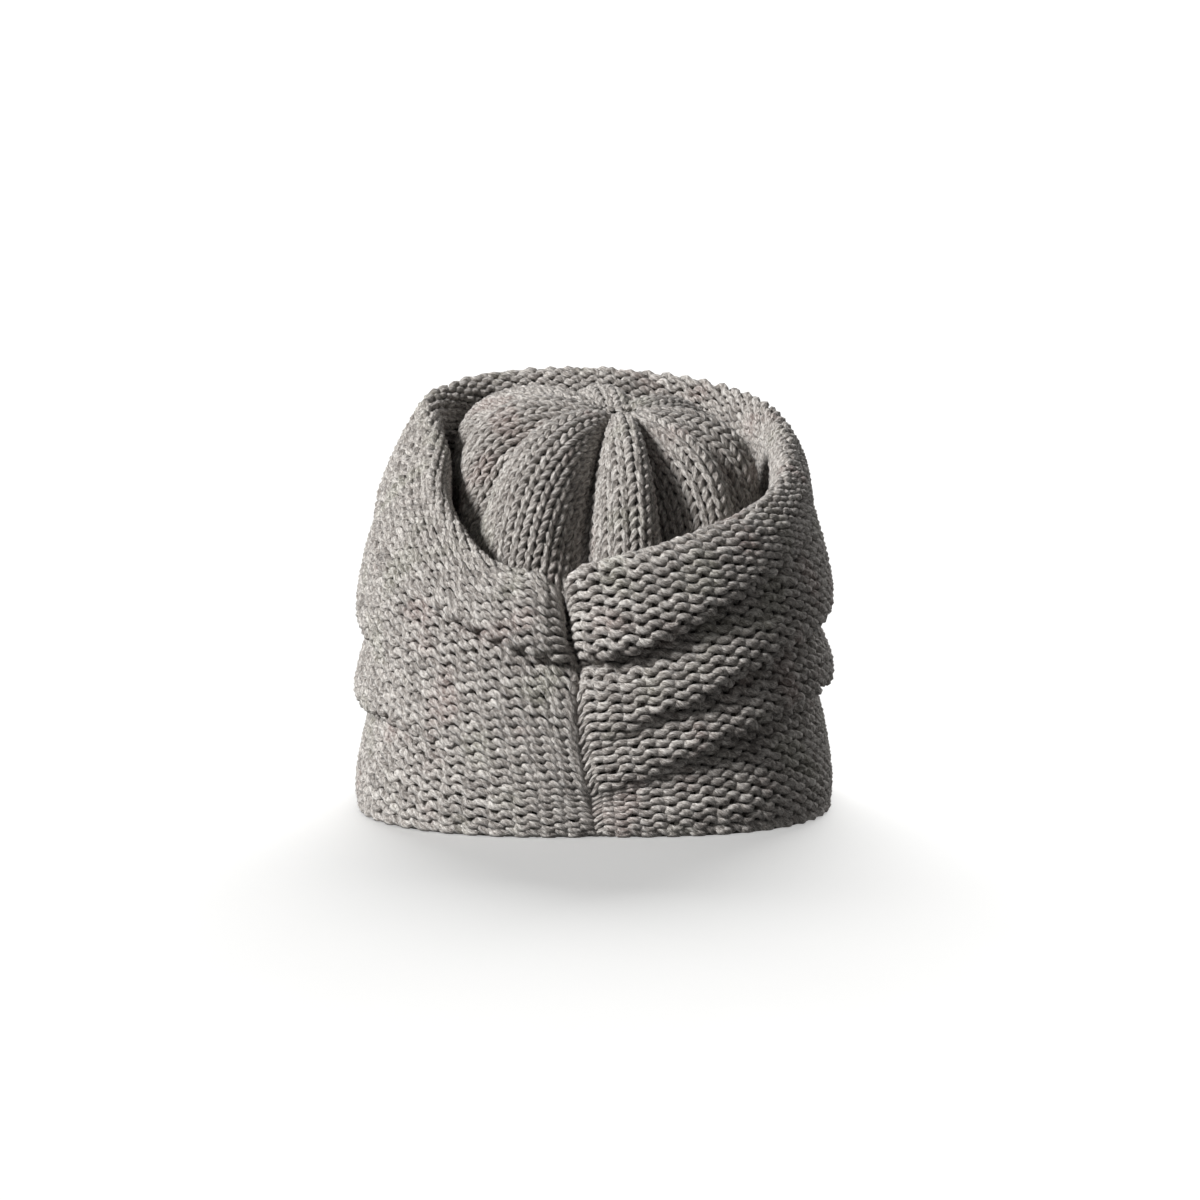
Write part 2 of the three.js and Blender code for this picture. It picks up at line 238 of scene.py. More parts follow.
@dataclass(frozen=True)
class Band:
    """One ring of the band below the first tuck.

    bulge is how far it stands past the outline (mm). The rest are shares of the hem's flare and of
    the tuck's depth and height.
    """

    name: str
    bulge: float
    flare: float
    depth: float
    height: float


@dataclass(frozen=True)
class Puff:
    """Puffed fabric above a tuck.

    belly and shoulder are its two rings, as shares of the way to the next edge. sag is how far the
    belly hangs over a deep tuck, and inset how far both lie inside the outline (mm).
    """

    name: str
    belly: float
    shoulder: float
    sag: float
    inset: float = 0.0


@dataclass(frozen=True)
class Lobe:
    """One gathered lobe of the crown.

    first and last are the azimuths of its pleats, open half the width of the valley at the first
    (degrees). top is its height, gap its distance from the lip and depth that of its pleats (mm).
    The smaller its shoulder, the squarer it falls.
    """

    name: str
    first: float
    last: float
    open: float
    top: float
    gap: float
    depth: float
    shoulder: float


# Azimuths of the columns of FOLDS: 0 and 360 at the back seam, 90 at the wearer's right
STATIONS = np.array([0.0, 15, 40, 90, 135, 180, 230, 270, 305, 345, 360])

# Heights and depths of the tucks and the rim (mm), and the courses of knit up to them
FOLDS = {
    "tuck_1_height": [15, 24, 41, 49, 44, 42, 40, 37, 38, 22],
    "tuck_1_depth": [0.8, 2.5, 9, 7, 4, 4, 4, 4.5, 4, 0.5],
    "tuck_2_height": [31, 43, 62, 74, 76, 76, 75, 69, 61, 42],
    "tuck_2_depth": [1, 4, 15, 13, 8, 5, 5, 6, 3.5, 0.5],
    "tuck_3_height": [65, 70, 91, 119, 122, 122, 120, 112, 94, 74],
    "tuck_3_depth": [11, 13, 15, 10, 8, 8, 9, 8, 3.5, 10],
    "collar_depth": [0, 0, 2, 7, 6, 5, 3, 1, 0, 0],
    "rim_height": [100, 106, 117, 138, 156, 164, 158, 142, 124, 100],
    "rim_depth": [13, 14, 16, 18, 18, 26, 20, 31, 28, 18],
    "tuck_3_courses": [22, 22.2, 24.5, 30, 33, 32, 31, 29, 23.5, 22],
    "rim_courses": [31, 31, 33.8, 37.5, 41, 41, 40, 37.5, 33, 31.3],
}
TUCKS = (1, 2, 3)
BANDS = (
    Band("band_low", 0.3, 0.8, 0.1, 0.28),
    Band("band_high", -0.6, 0.4, 0.4, 0.68),
)
PUFFS = (
    Puff("fold_1", 0.25, 0.63, 6),
    Puff("fold_2", 0.25, 0.63, 8.5, 1),
    Puff("collar", 0.22, 0.58, 8),
)
RINGS = (
    Ring("hem", 2, 1.2, 5),
    Ring("band_low", 2.5, 0.9, 5),
    Ring("band_high", 2.5, 0.3, 5),
    Ring("tuck_1", 2.5, 0.2, 5),
    Ring("fold_1_low", 2.5, -0.6, 4.5, 0, 2.5),
    Ring("fold_1_high", 2.5, -1.6, 5),
    Ring("tuck_2", 2.5, -2.4, 5),
    Ring("fold_2_low", 2.5, -3, 4.5, 0, 3),
    Ring("fold_2_high", 2.5, -3.6, 5),
    Ring("tuck_3", 3, -4.4, 5),
    Ring("collar_low", 12, -5.8, 4.5, 0, 3.5),
    Ring("collar_high", 13, -7, 5),
    Ring("roll", 10, -8, 4.5, -1.5),
    Ring("rim", 7, -8.5, 0, -5),
    Ring("lip", 7, -7, -4.5, -1.5),
    Ring("well_high", 4, -3, -5),
    Ring("well_low", 2, 0, -4.5, -2.5),
    Ring("well_floor", 0, 0, 0, -5),
)
LOBES = (
    Lobe("back", -6, 39, 4, 154, 10, 27, 0.7),
    Lobe("back_right", 39, 82, 4, 152, 9, 25, 0.65),
    Lobe("right", 82, 114, 2, 156, 2, 15, 0.55),
    Lobe("front_right", 114, 158, 1, 159, 6, 12, 0.5),
    Lobe("front", 158, 205, 1, 163, 6, 10, 0.45),
    Lobe("front_left", 205, 250, 1, 163, 3, 8, 0.38),
    Lobe("left", 250, 295, 1, 162, 1.5, 11, 0.42),
    Lobe("back_left", 295, 354, 1.5, 157, 5, 20, 0.65),
)


@dataclass
class ScrunchForm:
    """Folded shape of the hat, with the middle of the knit halfway through its wall.

    Sizes are in millimetres, and widths at the seam in degrees. lap_right is the right side's share
    of the lap. pinch is the crown's middle. The widths of the pinch and the dimple and the places of
    the pleats are shares of the way from there to the well.
    """

    half_width: float = 93.0
    half_depth: float = 97.0
    squareness: float = 2.3
    hem_flare: float = 5.0
    hem_inset: float = 1.0
    wall: float = 5.0
    rim_roll: float = 6.5
    rim_round: float = 5.5
    rim_ease: float = 0.6
    well_drop: float = 34.0
    well_low: float = 0.88
    well_lean: float = 1.0
    tuck_clearance: float = 3.0
    crown_gap: float = 1.0
    dip_width: float = 5.0
    drift_width: float = 50.0
    notch: float = 9.0
    notch_left: float = 5.0
    notch_right: float = 2.5
    lap: float = 3.0
    lap_width: float = 14.0
    lap_right: float = -0.4
    corner: float = 8.0
    corner_left: float = 1.5
    corner_right: float = 3.0
    deep_fold: float = 8.0
    shoulder_tuck: float = 0.28
    collar_belly_out: float = 0.72
    collar_shoulder_out: float = 0.35
    pinch: tuple[float, float, float] = (10.0, 0.0, 155.0)
    pinch_width: float = 0.2
    dimple: float = 3.0
    dimple_width: float = 0.1
    pleat_sink: float = 8.0
    pleat_sharpness: float = 0.68
    pleat_reach: float = 0.67
    pleat_onset: float = 0.8
    pleat_base: float = 0.78
    pleat_fade: float = 1.5
    dome_fullness: float = 0.85

    def around(self, row: str, azimuth: Array) -> Array:
        """Value of a fold row at any azimuth, smooth but for the kink at the seam.

        Args:
            row: Name of the row.
            azimuth: Degrees from the back seam.

        Returns:
            The row's value at each azimuth.
        """
        values = np.array([*FOLDS[row], FOLDS[row][0]], float)
        width = np.diff(STATIONS)
        rise = np.diff(values) / width
        bend = (rise[1:] * width[:-1] + rise[:-1] * width[1:]) / (width[1:] + width[:-1])
        slope = np.concatenate([rise[:1], bend, rise[-1:]])
        at = np.mod(azimuth, 360.0)
        i = np.clip(np.searchsorted(STATIONS, at, side="right") - 1, 0, len(width) - 1)
        t = (at - STATIONS[i]) / width[i]
        return hermite(values[i], slope[i] * width[i], values[i + 1], slope[i + 1] * width[i], t)

    def outline(self, azimuth: Array) -> Array:
        """Reach of the plan outline.

        Args:
            azimuth: Degrees from the back seam.

        Returns:
            Distance from the middle of the hat at each azimuth.
        """
        a = np.radians(azimuth)
        across = np.abs(np.sin(a) / self.half_width) ** self.squareness
        along = np.abs(np.cos(a) / self.half_depth) ** self.squareness
        return (across + along) ** (-1 / self.squareness)

    def from_seam(self, azimuth: Array) -> Array:
        """Signed degrees from the back seam."""
        return np.mod(azimuth + 180.0, 360.0) - 180.0

    def beside_seam(self, azimuth: Array, left: float, right: float) -> Array:
        """Bell of height 1 at the seam, with a width in degrees on either side of it."""
        away = self.from_seam(azimuth)
        return fade(away, np.where(away < 0, left, right))

    def rim_top(self, azimuth: Array) -> Array:
        """Height of the rolled rim, notched at the seam."""
        notch = self.notch * self.beside_seam(azimuth, self.notch_left, self.notch_right)
        return self.around("rim_height", azimuth) - notch

    def well_reach(self, azimuth: Array) -> Array:
        """Face of the lip low in the well, clear of the tuck behind it.

        Args:
            azimuth: Degrees from the back seam.

        Returns:
            Distance from the middle of the hat at each azimuth.
        """
        hull = self.outline(azimuth)
        by_rim = hull - self.around("rim_depth", azimuth) - self.rim_roll - self.well_lean
        by_tuck = hull - self.around("tuck_3_depth", azimuth) - 2 * self.wall - self.tuck_clearance
        return np.minimum(by_rim, by_tuck)

    def folded(self, tuck: int, azimuth: Array) -> Array:
        """How deeply a tuck is folded, from 0 to 1."""
        return np.clip(self.around(f"tuck_{tuck}_depth", azimuth) / self.deep_fold, 0, 1)

    def lobe_values(self, azimuth: Array) -> dict[str, Array]:
        """Place across the lobe, from -1 to 1, and the lobe's sizes, blended at the pleats.

        Args:
            azimuth: Degrees from the back seam.

        Returns:
            Arrays named across, top, gap, depth and shoulder.
        """
        first = np.array([lobe.first for lobe in LOBES], float)
        last = np.array([lobe.last for lobe in LOBES], float)
        at = np.mod(azimuth - first[0], 360.0) + first[0]
        i = np.clip(np.searchsorted(first, at, side="right") - 1, 0, len(LOBES) - 1)
        valley = np.array([lobe.open for lobe in LOBES], float)
        start = first[i] + valley[i]
        end = last[i] - np.roll(valley, -1)[i]
        across = np.clip(2 * (at - start) / (end - start) - 1, -1, 1)
        other = np.where(across < 0, i - 1, i + 1) % len(LOBES)
        share = 0.5 * across**2
        mixed = {"across": across}
        for key in ("top", "gap", "depth", "shoulder"):
            column = np.array([getattr(lobe, key) for lobe in LOBES], float)
            mixed[key] = column[i] * (1 - share) + column[other] * share
        return mixed

    def faces(self, azimuth: Array) -> dict[str, tuple[Array, Array]]:
        """Reach and height of the seen face at each ring.

        Args:
            azimuth: Degrees from the back seam.

        Returns:
            Ring names, each with its reach and height.
        """
        hull = self.outline(azimuth)
        flare = self.hem_flare * np.sin(2 * np.radians(azimuth)) ** 2
        height = [self.around(f"tuck_{k}_height", azimuth) for k in TUCKS]
        depth = [self.around(f"tuck_{k}_depth", azimuth) for k in TUCKS]
        sag = [puff.sag * self.folded(k, azimuth) for k, puff in zip(TUCKS, PUFFS)]
        rings = {f"tuck_{k}": (hull - depth[k - 1], height[k - 1]) for k in TUCKS}
        for band in BANDS:
            reach = hull + band.bulge + band.flare * flare - band.depth * depth[0]
            rings[band.name] = (reach, band.height * height[0])
        *folds, collar = PUFFS
        for k, fold in enumerate(folds):
            out = hull - fold.inset
            drawn = self.shoulder_tuck * depth[k + 1]
            span = height[k + 1] - height[k]
            rings[f"{fold.name}_low"] = (out, height[k] + fold.belly * span - sag[k])
            rings[f"{fold.name}_high"] = (out - drawn, height[k] + fold.shoulder * span)
        top = self.rim_top(azimuth)
        rim = hull - self.around("rim_depth", azimuth)
        roll = rim + self.rim_roll
        lip = rim - self.rim_roll
        away = self.from_seam(azimuth)
        side = np.where(away < 0, 1, self.lap_right)
        lapped = roll + self.lap * side * np.exp(-np.abs(away) / self.lap_width)
        lean = hull - self.around("collar_depth", azimuth) - roll
        corner = self.corner * self.beside_seam(azimuth, self.corner_left, self.corner_right)
        span = top - height[-1]
        belly = height[-1] + collar.belly * span - sag[-1] + corner
        shoulder = height[-1] + collar.shoulder * span
        well = self.well_reach(azimuth)
        gap = self.lobe_values(azimuth)["gap"]
        return rings | {
            "hem": (hull - self.hem_inset + flare, 0 * hull),
            "collar_low": (lapped + self.collar_belly_out * lean, belly),
            "collar_high": (lapped + self.collar_shoulder_out * lean, shoulder),
            "roll": (roll - self.rim_ease, top - self.rim_round),
            "rim": (rim, top),
            "lip": (lip + self.rim_ease, top - self.rim_round),
            "well_high": (0.5 * (lip + well), top - 0.5 * self.well_drop),
            "well_low": (well, top - self.well_low * self.well_drop),
            "well_floor": (well - gap + self.crown_gap, top - self.well_drop),
        }

    def middle(self, azimuth: Array) -> Array:
        """Control points of the middle of the knit, as reach, height and azimuth.

        Args:
            azimuth: Degrees from the back seam.

        Returns:
            Array of sections, rings and three values.
        """
        faces = self.faces(azimuth)
        away = self.from_seam(azimuth)
        crease = np.exp(-np.abs(away) / self.dip_width)
        drift = fade(away, self.drift_width)
        folded = {f"{puff.name}_low": self.folded(k, azimuth) for k, puff in zip(TUCKS, PUFFS)}
        rows = []
        for ring in RINGS:
            reach, height = faces[ring.name]
            rise = ring.up + ring.lift * folded.get(ring.name, 0.0)
            inner = reach - ring.dip * crease - ring.inward / 2
            rows.append([inner, height + rise / 2, azimuth + ring.drift * drift])
        return np.moveaxis(np.array(rows), 2, 0)

    def crown_point(self, azimuth: Array, along: Array) -> Array:
        """Point of the middle of the crown's knit.

        Args:
            azimuth: Degrees from the back seam.
            along: Place from the pinched middle (0) to the well (1).

        Returns:
            Points in millimetres.
        """
        lobe = self.lobe_values(azimuth)
        sunk = 1 - np.clip(np.cos(np.pi / 2 * lobe["across"]), 0, 1) ** self.pleat_sharpness
        arc = along * np.pi / 2
        spread = np.sin(arc) ** self.dome_fullness
        grows = np.sin(np.pi / 2 * np.minimum(along / self.pleat_reach, 1) ** self.pleat_onset)
        past_base = np.maximum(0, (along - self.pleat_base) / (1 - self.pleat_base))
        pleat = lobe["depth"] * sunk * grows * (1 - past_base**self.pleat_fade)
        inset = self.wall / 2
        reach = (self.well_reach(azimuth) - lobe["gap"] - inset) * spread - pleat
        base = self.rim_top(azimuth) - self.well_drop - inset
        drop = np.maximum(np.cos(arc), 0) ** lobe["shoulder"]
        pinch = (lobe["top"] - self.pinch[2]) * fade(along, self.pinch_width)
        dimple = self.dimple * fade(along, self.dimple_width)
        sink = self.pleat_sink * sunk * np.sin(np.pi * along)
        height = base + (lobe["top"] - inset - base) * drop - sink - pinch - dimple
        a = np.radians(azimuth)
        x = self.pinch[0] * (1 - spread) + reach * np.sin(a)
        y = self.pinch[1] * (1 - spread) - reach * np.cos(a)
        return np.stack([x, y, height], -1)


def threaded(points: Array, spans: int) -> Array:
    """Centripetal curves through control points.

    Args:
        points: Curves, control points and values, the first two of which are a plane.
        spans: Steps between neighbouring control points.

    Returns:
        Curves, points and values.
    """
    before = 2 * points[:, :1] - points[:, 1:2]
    after = 2 * points[:, -1:] - points[:, -2:-1]
    full = np.concatenate([before, points, after], 1)
    pace = np.sqrt(np.linalg.norm(np.diff(full[..., :2], axis=1), axis=2))[..., None]
    pace = np.maximum(pace, SMALLEST_PACE)
    line = []
    for i in range(points.shape[1] - 1):
        p0, p1, p2, p3 = (full[:, i + j] for j in range(4))
        d0, d1, d2 = (pace[:, i + j] for j in range(3))
        leave = (p1 - p0) / d0 - (p2 - p0) / (d0 + d1) + (p2 - p1) / d1
        enter = (p2 - p1) / d1 - (p3 - p1) / (d1 + d2) + (p3 - p2) / d2
        line += [hermite(p1, leave * d1, p2, enter * d1, step / spans) for step in range(spans)]
    return np.stack([*line, points[:, -1]], 1)


@dataclass
class FabricGrid:
    """Middle of a knit as a grid of points, looked up by wale and course."""

    points: Array
    first_wale: float
    last_wale: float
    last_course: float
    closed: bool
    normals: Array = field(init=False)
    pitch: Array = field(init=False)

    def __post_init__(self) -> None:
        """Work out the outward direction and the height of a course at each point."""
        if self.closed:
            wrapped = np.concatenate([self.points[-2:-1], self.points, self.points[1:2]])
            across = np.gradient(wrapped, axis=0)[1:-1]
        else:
            across = np.gradient(self.points, axis=0)
        up = np.gradient(self.points, axis=1)
        self.normals = unit(np.cross(across, up))
        rows_a_course = (self.points.shape[1] - 1) / self.last_course
        self.pitch = np.linalg.norm(up, axis=2, keepdims=True) * rows_a_course

    def lookup(self, wale: Array, course: Array) -> tuple[Array, Array, Array]:
        """Points, outward directions and course heights.

        Args:
            wale: Place across, in wales.
            course: Place up the knit, in courses.

        Returns:
            Points in millimetres, unit vectors, and millimetres a course.
        """
        columns, rows = self.points.shape[:2]
        x = (wale - self.first_wale) / (self.last_wale - self.first_wale)
        x = (np.mod(x, 1.0) if self.closed else np.clip(x, 0, 1)) * (columns - 1)
        y = np.clip(course / self.last_course, 0, 1) * (rows - 1)
        i = np.minimum(x.astype(int), columns - 2)
        j = np.minimum(y.astype(int), rows - 2)
        s = (x - i)[..., None]
        t = (y - j)[..., None]

        def mixed(grid: Array) -> Array:
            """Bilinear value of a grid."""
            low, high = (grid[i, k] * (1 - s) + grid[i + 1, k] * s for k in (j, j + 1))
            return low * (1 - t) + high * t

        return mixed(self.points), unit(mixed(self.normals)), mixed(self.pitch)[..., 0]


@dataclass
class Strand:
    """A stretch of yarn: its middle line, the direction out of the fabric, and its radius (mm)."""

    line: Array
    outward: Array
    radius: Array


@dataclass(frozen=True)
class Stitch:
    """Shape of one loop of yarn.

    lean is how far the legs lean, in wales. reach is half the loop's height and tilt how far its
    arcs slant, in courses. relief is how far the yarn weaves in and out, radius its half thickness
    and end_sink how far a course's ends lie below it (mm). end_width is in radians of a loop. Where
    courses are not course_mm high the yarn is drawn thinner or fuller.
    """

    face: Face
    lean: float
    reach: float
    relief: float
    radius: float
    course_mm: float
    tilt: float = 0.0
    samples: int = 14
    unevenness: float = 0.05
    end_sink: float = 2.0
    end_width: float = 0.9
    thinnest: float = 0.85
    fullest: float = 1.2

    def course(
        self, grid: FabricGrid, first: float, count: int, row: float, rng: np.random.Generator
    ) -> Strand:
        """Lay one course of loops on the fabric.

        Args:
            grid: The fabric.
            first: Wale at which the course starts.
            count: Number of loops.
            row: Course at which the loops stand.
            rng: Source of the hand's unevenness.

        Returns:
            The course's strand.
        """
        t = np.linspace(0, 2 * np.pi * count, count * self.samples + 1)
        knots = np.arange(2 * count + 1) * np.pi
        uneven = [np.interp(t, knots, rng.normal(0, self.unevenness, len(knots))) for _ in range(4)]
        wale = first + t / (2 * np.pi) + self.lean * np.sin(2 * t) + 0.5 * uneven[0]
        course = row - (self.reach + uneven[1]) * np.cos(t) - self.tilt * np.sin(2 * t) + uneven[2]
        weave = self.face.value * self.relief * np.cos(2 * t)
        ends = fade(np.minimum(t, t[-1] - t), self.end_width)
        points, outward, pitch = grid.lookup(wale, course)
        points = points + outward * (weave + uneven[3] - ends * (self.end_sink + weave))[:, None]
        stretched = np.clip(np.sqrt(pitch / self.course_mm), self.thinnest, self.fullest)
        return Strand(points, outward, self.radius * stretched * (1 + uneven[0]))


@dataclass
class YarnPiece:
    """Strands of yarn joined in one mesh.

    One map runs along the yarn in millimetres and around it in turns. The other lays the yarn out
    for baking, in strips of bake_run rings with bare margins.
    """

    name: str
    sides: int = 6
    map_gap_mm: float = 7.0
    bake_run: int = 224
    bake_end: float = 0.002
    bake_edge: float = 0.08
    strands: list[Strand] = field(default_factory=list)

    def rings(self, strand: Strand) -> Array:
        """Ring of points round each point of a strand, starting at the side next to the fabric.

        Args:
            strand: The strand.

        Returns:
            Array of rings, points and coordinates, in millimetres.
        """
        along = unit(np.gradient(strand.line, axis=0))
        side = unit(np.cross(along, strand.outward))
        up = np.cross(side, along)
        angle = 2 * np.pi * np.arange(self.sides) / self.sides
        turned = -np.cos(angle)[:, None] * up[:, None] + np.sin(angle)[:, None] * side[:, None]
        return strand.line[:, None] + strand.radius[:, None, None] * turned

    def build(self) -> Object:
        """Make the joined mesh.

        Returns:
            The piece's object, at the origin.
        """
        sides = self.sides
        around = np.arange(sides)
        strips = sum(math.ceil((len(s.line) - 1) / self.bake_run) for s in self.strands)
        strip_length = 1 - 2 * self.bake_end
        strip_width = 1 - 2 * self.bake_edge
        points, quads, caps, yarn_uv, bake_uv = [], [], [], [], []
        start, strip, length = 0, 0, 0.0
        for strand in self.strands:
            count = len(strand.line)
            points.append(self.rings(strand).reshape(-1, 3))
            base = start + np.arange(count - 1)[:, None] * sides
            here, there = base + around, base + (around + 1) % sides
            quads.append(np.stack([here, here + sides, there + sides, there], -1).reshape(-1, 4))
            caps += [start + around, start + (count - 1) * sides + around[::-1]]
            gone = lengths(strand.line)
            u0, u1 = (length + g[:, None] + 0 * around for g in (gone[:-1], gone[1:]))
            v0, v1 = (0 * base + (around + k) / sides for k in (0, 1))
            yarn_uv.append(np.stack([u0, v0, u1, v0, u1, v1, u0, v1], -1).reshape(-1, 2))
            run, place = np.divmod(np.arange(count - 1)[:, None] + 0 * around, self.bake_run)
            b0, b1 = (self.bake_end + strip_length * (place + k) / self.bake_run for k in (0, 1))
            edge = strip + run + self.bake_edge
            w0, w1 = ((edge + strip_width * v) / strips for v in (v0, v1))
            bake_uv.append(np.stack([b0, w0, b1, w0, b1, w1, b0, w1], -1).reshape(-1, 2))
            start += count * sides
            strip += run[-1, 0] + 1
            length += gone[-1] + self.map_gap_mm
        quads = np.concatenate(quads)
        loops = np.concatenate([quads.ravel(), *caps])
        starts = np.append(np.arange(len(quads)) * 4, len(quads) * 4 + np.arange(len(caps)) * sides)
        mesh = bpy.data.meshes.new(self.name)
        mesh.vertices.add(start)
        mesh.vertices.foreach_set("co", (np.concatenate(points) * MM).astype(np.float32).ravel())
        mesh.loops.add(len(loops))
        mesh.loops.foreach_set("vertex_index", loops.astype(np.int32))
        mesh.polygons.add(len(starts))
        mesh.polygons.foreach_set("loop_start", starts.astype(np.int32))
        for name, parts in ((YARN_MAP, yarn_uv), (BAKE_MAP, bake_uv)):
            uv = np.concatenate([*parts, np.zeros((len(caps) * sides, 2))])
            layer = mesh.uv_layers.new(name=name)
            layer.uv.foreach_set("vector", uv.astype(np.float32).ravel())
        mesh.update(calc_edges=True)
        mesh.validate()
        mesh.shade_smooth()
        piece = bpy.data.objects.new(self.name, mesh)
        bpy.context.scene.collection.objects.link(piece)
        return piece


@dataclass(frozen=True)
class HeatherYarn:
    """Spun acrylic and wool yarn, three plies, carded from grey, cream and charcoal fibre.

    To the eye it is matt and slightly bloomed, with short streaks of lighter and darker fibre along
    the twist. Real fibre is too fine to show in the render, so it is drawn some ten times as coarse.
    Tones are the noise levels at which the colours stand, and twist is in turns a millimetre. The
    ply ridges are painted lighter and the grooves between them darker, as painted light and shade.
    """

    name: str
    dark: str = "#3e3935"
    mid: str = "#9f9892"
    light: str = "#eeeae4"
    tones: tuple[float, ...] = (0.51, 0.65, 0.79)
    plies: float = 3.0
    ridge_mm: float = 4.0
    painted_ply_shading: float = 0.055
    ply_relief: float = 0.5
    streak_mm: float = 1.2
    streaks_round: float = 32.0
    twist: float = 0.06
    fleck_mm: float = 16.0
    fleck_weight: float = 0.3
    rose: str = "#9f8680"
    moss: str = "#959584"
    patch_mm: float = 24.0
    patch_tones: tuple[float, ...] = (0.3, 0.42, 0.6, 0.7)
    patch_strength: float = 0.28
    bump_mm: float = 0.65

    def material(self) -> Material:
        """Make the yarn's material.

        Returns:
            The material.
        """
        material, tree, shader = blank_material(self.name)
        place = add_node(tree, "ShaderNodeUVMap", {}, uv_map=YARN_MAP)
        parts = add_node(tree, "ShaderNodeSeparateXYZ", {0: place.outputs[0]})
        along, around = parts.outputs[0], parts.outputs[1]

        # Plies: ridges that wind round the yarn
        wound = scaled(tree, around, self.plies)
        turns = scaled(tree, along, 1 / self.ridge_mm, wound)
        angle = scaled(tree, turns, 2 * math.pi)
        ply = add_node(tree, "ShaderNodeMath", {0: angle}, operation="SINE").outputs[0]

        # Fibre: short streaks that lie along the twist
        slant = scaled(tree, along, self.twist, around)
        crosswise = scaled(tree, slant, self.streaks_round)
        lengthwise = scaled(tree, along, 1 / self.streak_mm)
        streak = add_node(tree, "ShaderNodeCombineXYZ", {0: lengthwise, 1: crosswise})
        inputs = {"Vector": streak.outputs[0], "Scale": 1.0, "Detail": 3.0, "Roughness": 0.65}
        fibre = add_node(tree, "ShaderNodeTexNoise", inputs, noise_dimensions="2D").outputs[0]

        # Heather: stretches of yarn that were carded lighter or darker
        inputs = {"W": scaled(tree, along, 1 / self.fleck_mm), "Scale": 1.0, "Detail": 1.0}
        fleck = add_node(tree, "ShaderNodeTexNoise", inputs, noise_dimensions="1D").outputs[0]
        carded = scaled(tree, fleck, self.fleck_weight, fibre)
        # Painted light and shade: ply ridges drawn lighter, the grooves between them darker
        shaded = scaled(tree, ply, self.painted_ply_shading, carded)
        heather = toned(tree, shaded, self.tones, (self.dark, self.mid, self.light))

        # Dye: faint rose and moss patches over the whole hat
        patches = grain(tree, self.patch_mm, detail=1.0)
        tint = toned(tree, patches, self.patch_tones, (self.moss, self.mid, self.mid, self.rose))
        inputs = {0: self.patch_strength, 6: heather, 7: tint}
        dyed = add_node(tree, "ShaderNodeMix", inputs, data_type="RGBA")

        # Relief: plies and fibre stand out a little, and loose ends give a faint bloom
        relief = scaled(tree, ply, self.ply_relief, fibre)
        inputs = {"Strength": 0.9, "Distance": self.bump_mm * MM, "Height": relief}
        bump = add_node(tree, "ShaderNodeBump", inputs)
        bloom = {"Sheen Weight": 0.25, "Sheen Roughness": 0.5}
        feed(tree, shader, {"Base Color": dyed.outputs[2], "Normal": bump.outputs[0]})
        feed(tree, shader, {"Roughness": 0.9, "Specular IOR Level": 0.2, **bloom})
        return material


@dataclass(frozen=True)
class GapShadeFibre:
    """Fibre of the same yarn between the loops, painted dark with the shade that falls in the gaps.
    """

    name: str
    dark: str = "#2d2b29"
    light: str = "#5a5651"
    tones: tuple[float, ...] = (0.3, 0.75)
    grain_mm: float = 1.2
    bump_mm: float = 0.5

    def material(self) -> Material:
        """Make the fibre's material.

        Returns:
            The material.
        """
        material, tree, shader = blank_material(self.name)
        felt = grain(tree, self.grain_mm, detail=3.0)
        # Painted shade: dark tones for the shade in the gaps between loops
        colour = toned(tree, felt, self.tones, (self.dark, self.light))
        inputs = {"Strength": 0.8, "Distance": self.bump_mm * MM, "Height": felt}
        bump = add_node(tree, "ShaderNodeBump", inputs)
        feed(tree, shader, {"Base Color": colour, "Normal": bump.outputs[0]})
        feed(tree, shader, {"Roughness": 1.0, "Specular IOR Level": 0.1})
        return material


@dataclass(frozen=True)
class PaperSweep:
    """Matt white background paper, faintly mottled, with the glow of a lit sweep."""

    name: str = "matt_paper"
    pale: str = "#fbfbfa"
    shade: str = "#f8f8f7"
    mottle_mm: float = 60.0
    glow: float = 0.42

    def material(self) -> Material:
        """Make the paper's material.

        Returns:
            The material.
        """
        material, tree, shader = blank_material(self.name)
        mottle = grain(tree, self.mottle_mm, detail=2.0)
        colour = toned(tree, mottle, (0.0, 1.0), (self.shade, self.pale))
        glow = {"Emission Color": linear(self.pale), "Emission Strength": self.glow}
        feed(tree, shader, {"Base Color": colour, "Roughness": 0.95, **glow})
        return material


def dress(piece: Object, material: Material) -> None:
    """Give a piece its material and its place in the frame.

    Args:
        piece: The piece.
        material: Its material.
    """
    piece.data.materials.clear()
    piece.data.materials.append(material)
    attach(piece, BODY)
    LOG.info("%s: %d faces", piece.name, len(piece.data.polygons))


